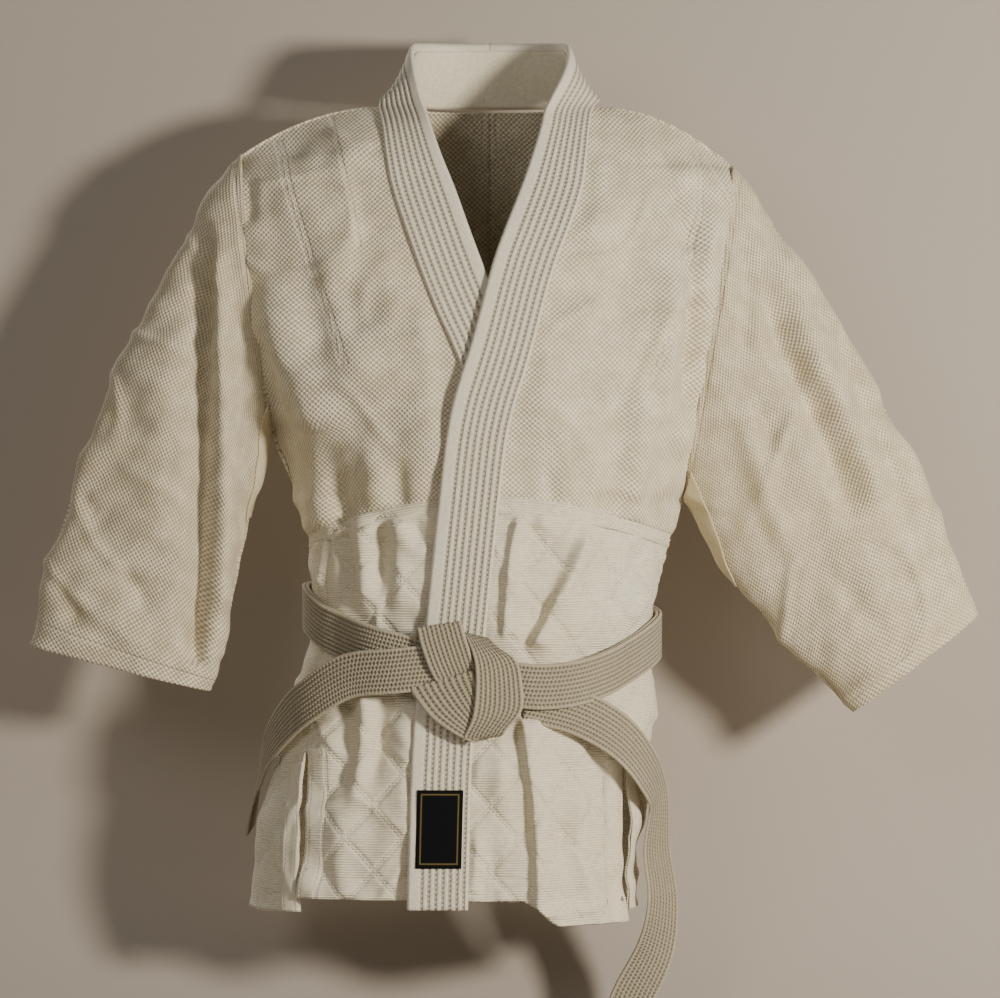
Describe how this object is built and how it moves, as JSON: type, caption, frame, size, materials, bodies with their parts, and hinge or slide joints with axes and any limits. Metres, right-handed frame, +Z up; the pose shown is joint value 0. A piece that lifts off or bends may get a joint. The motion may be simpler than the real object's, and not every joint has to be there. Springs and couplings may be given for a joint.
{
  "type": "martial arts jacket",
  "caption": "Cotton judo-style jacket with stitched lapels, quilted skirt with side vents, short wide sleeves and a tied belt, hanging as if on a shoulder form.",
  "frame": {"origin": "middle of the neck opening, at the height of the shoulder line", "axes": "+Z up, -Y out of the jacket's front, +X towards the wearer's left"},
  "size_m": [0.8777, 0.2325, 0.9059],
  "materials": {
    "weave": "rice-grain cotton weave, slightly yellowed",
    "skirt": "ribbed cotton with diamond quilting",
    "lapel": "closely stitched cotton twill",
    "core": "layered cotton canvas",
    "lining": "plain cotton, yellowed",
    "tape": "cotton tape",
    "belt": "stitched cotton webbing",
    "label": "woven patch, no lettering"
  },
  "bodies": {
    "jacket": {"front_panel_left": "weave", "front_panel_right": "weave", "back_panel_left": "weave", "back_panel_right": "weave", "chest_reinforcement_left": "lining", "chest_reinforcement_right": "lining", "back_reinforcement_left": "lining", "back_reinforcement_right": "lining", "back_seam_tape": "tape", "lapel_left_cover": "lapel", "lapel_left_core": "core", "lapel_right_cover": "lapel", "lapel_right_core": "core", "collar_cover": "lapel", "collar_core": "core", "neck_lining": "tape", "skirt_front_left": "skirt", "skirt_front_right": "skirt", "skirt_back": "skirt", "waist_seam_tape_left": "tape", "waist_seam_tape_right": "tape", "belt_inner_turn": "belt", "belt_outer_turn": "belt", "knot_upper_fold": "belt", "knot_lower_fold": "belt", "knot_loop": "belt"},
    "sleeve_of_left_arm": {"sleeve_left": "weave", "gusset_left": "lining", "cuff_hem_left": "tape"},
    "sleeve_of_right_arm": {"sleeve_right": "weave", "gusset_right": "lining", "cuff_hem_right": "tape"},
    "front_flap_left": {"skirt_flap_left": "skirt", "vent_facing_front_left": "tape", "hem_front_left": "tape", "lapel_end_left_cover": "lapel", "lapel_end_left_core": "core", "label_patch": "label"},
    "front_flap_right": {"skirt_flap_right": "skirt", "vent_facing_front_right": "tape", "hem_front_right": "tape", "lapel_end_right_cover": "lapel", "lapel_end_right_core": "core"},
    "back_flap": {"skirt_flap_back": "skirt", "vent_facing_back_left": "tape", "vent_facing_back_right": "tape", "hem_back": "tape"},
    "tail_left": {"belt_tail_left": "belt"},
    "tail_right": {"belt_tail_right": "belt"}
  },
  "joints": [
    {"name": "left_sleeve_raise", "type": "hinge", "parent": "jacket", "child": "sleeve_of_left_arm", "pos_m": [0.226, 0, -0.057], "axis": [0, -1, 0], "range_deg": [0, 60]},
    {"name": "right_sleeve_raise", "type": "hinge", "parent": "jacket", "child": "sleeve_of_right_arm", "pos_m": [-0.232, 0, -0.046], "axis": [0, 1, 0], "range_deg": [0, 60]},
    {"name": "left_front_flap_lift", "type": "hinge", "parent": "jacket", "child": "front_flap_left", "pos_m": [0.03, -0.128, -0.577], "axis": [-1, 0, 0], "range_deg": [0, 40], "stiffness_Nm_per_rad": 0.3, "springref_deg": -28.65},
    {"name": "right_front_flap_lift", "type": "hinge", "parent": "jacket", "child": "front_flap_right", "pos_m": [-0.07, -0.128, -0.577], "axis": [-1, 0, 0], "range_deg": [0, 40], "stiffness_Nm_per_rad": 0.3, "springref_deg": -28.65},
    {"name": "back_flap_lift", "type": "hinge", "parent": "jacket", "child": "back_flap", "pos_m": [-0.04, 0.106, -0.577], "axis": [1, 0, 0], "range_deg": [0, 40], "stiffness_Nm_per_rad": 1, "springref_deg": -28.65},
    {"name": "left_tail_swing", "type": "hinge", "parent": "jacket", "child": "tail_left", "pos_m": [0.12, -0.122, -0.542], "axis": [-1, 0, 0], "range_deg": [0, 40], "stiffness_Nm_per_rad": 0.3, "springref_deg": -28.65},
    {"name": "right_tail_swing", "type": "hinge", "parent": "jacket", "child": "tail_right", "pos_m": [-0.075, -0.124, -0.495], "axis": [-0.78, 0.6258, 0], "range_deg": [0, 45], "stiffness_Nm_per_rad": 0.2, "springref_deg": -28.65}
  ],
  "couplings": [
    {"joint": "right_front_flap_lift", "follows": "left_front_flap_lift", "ratio": 1},
    {"joint": "left_tail_swing", "follows": "left_front_flap_lift", "ratio": 1}
  ]
}
